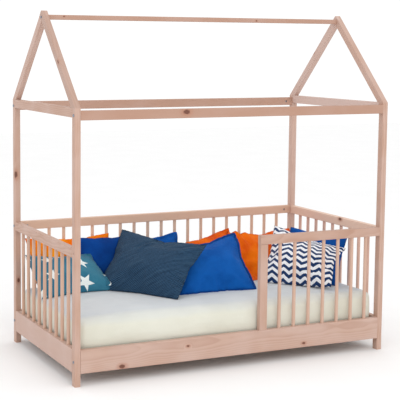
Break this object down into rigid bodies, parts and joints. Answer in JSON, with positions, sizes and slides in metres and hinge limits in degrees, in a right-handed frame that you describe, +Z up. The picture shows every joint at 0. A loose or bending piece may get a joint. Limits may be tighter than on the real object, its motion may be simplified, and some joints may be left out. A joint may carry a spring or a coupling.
{
  "type": "toddler bed",
  "caption": "House-frame toddler bed in pine: gabled top, round spindles, front guard with a way in, slatted base, mattress and loose cushions.",
  "frame": {"origin": "centre of the footprint, on the floor", "axes": "+X along the bed to the right seen from the open front, -Y the open front, +Z up"},
  "size_m": [1.475, 0.775, 1.49],
  "materials": {
    "pine": "satin",
    "turned_pine": "satin",
    "beech": "matte",
    "zinc_steel": "satin",
    "sheet_cotton": "matte",
    "orange_cotton": "matte",
    "blue_cotton": "matte",
    "star_cotton": "matte",
    "slate_weave": "matte",
    "chevron_cotton": "matte"
  },
  "bodies": {
    "frame": {"post_front_left": "pine", "post_front_right": "pine", "post_rear_left": "pine", "post_rear_right": "pine", "rafter_left_front": "pine", "rafter_left_rear": "pine", "rafter_right_front": "pine", "rafter_right_rear": "pine", "ridge": "pine", "rail_bottom_front": "pine", "rail_bottom_rear": "pine", "rail_bottom_left": "pine", "rail_bottom_right": "pine", "rail_top_front": "pine", "rail_top_rear": "pine", "rail_top_left": "pine", "rail_top_right": "pine", "barrier_rail_rear": "pine", "barrier_rail_left": "pine", "barrier_rail_right": "pine", "guard_rail_front": "pine", "guard_stile": "pine", "spindles_rear": "turned_pine", "spindles_left": "turned_pine", "spindles_right": "turned_pine", "spindles_guard": "turned_pine", "ledger_front": "pine", "ledger_rear": "pine", "base_slats": "pine", "frame_bolts": "zinc_steel", "ridge_bolts": "zinc_steel", "barrel_nuts": "zinc_steel", "ledger_screws": "zinc_steel", "end_rail_pins": "beech", "stile_pins": "beech"},
    "mattress_set": {"mattress": "sheet_cotton", "cushion_orange_left": "orange_cotton", "cushion_royal": "blue_cotton", "cushion_blue_rear": "blue_cotton", "cushion_orange_mid": "orange_cotton", "cushion_orange_right": "orange_cotton", "cushion_teal": "star_cotton", "cushion_slate": "slate_weave", "cushion_blue_mid": "blue_cotton", "cushion_blue_right": "blue_cotton", "cushion_chevron": "chevron_cotton"}
  },
  "joints": [
    {"name": "mattress_lift", "type": "slide", "parent": "frame", "child": "mattress_set", "axis": [0, 0, 1], "range_m": [0, 0.45]}
  ]
}
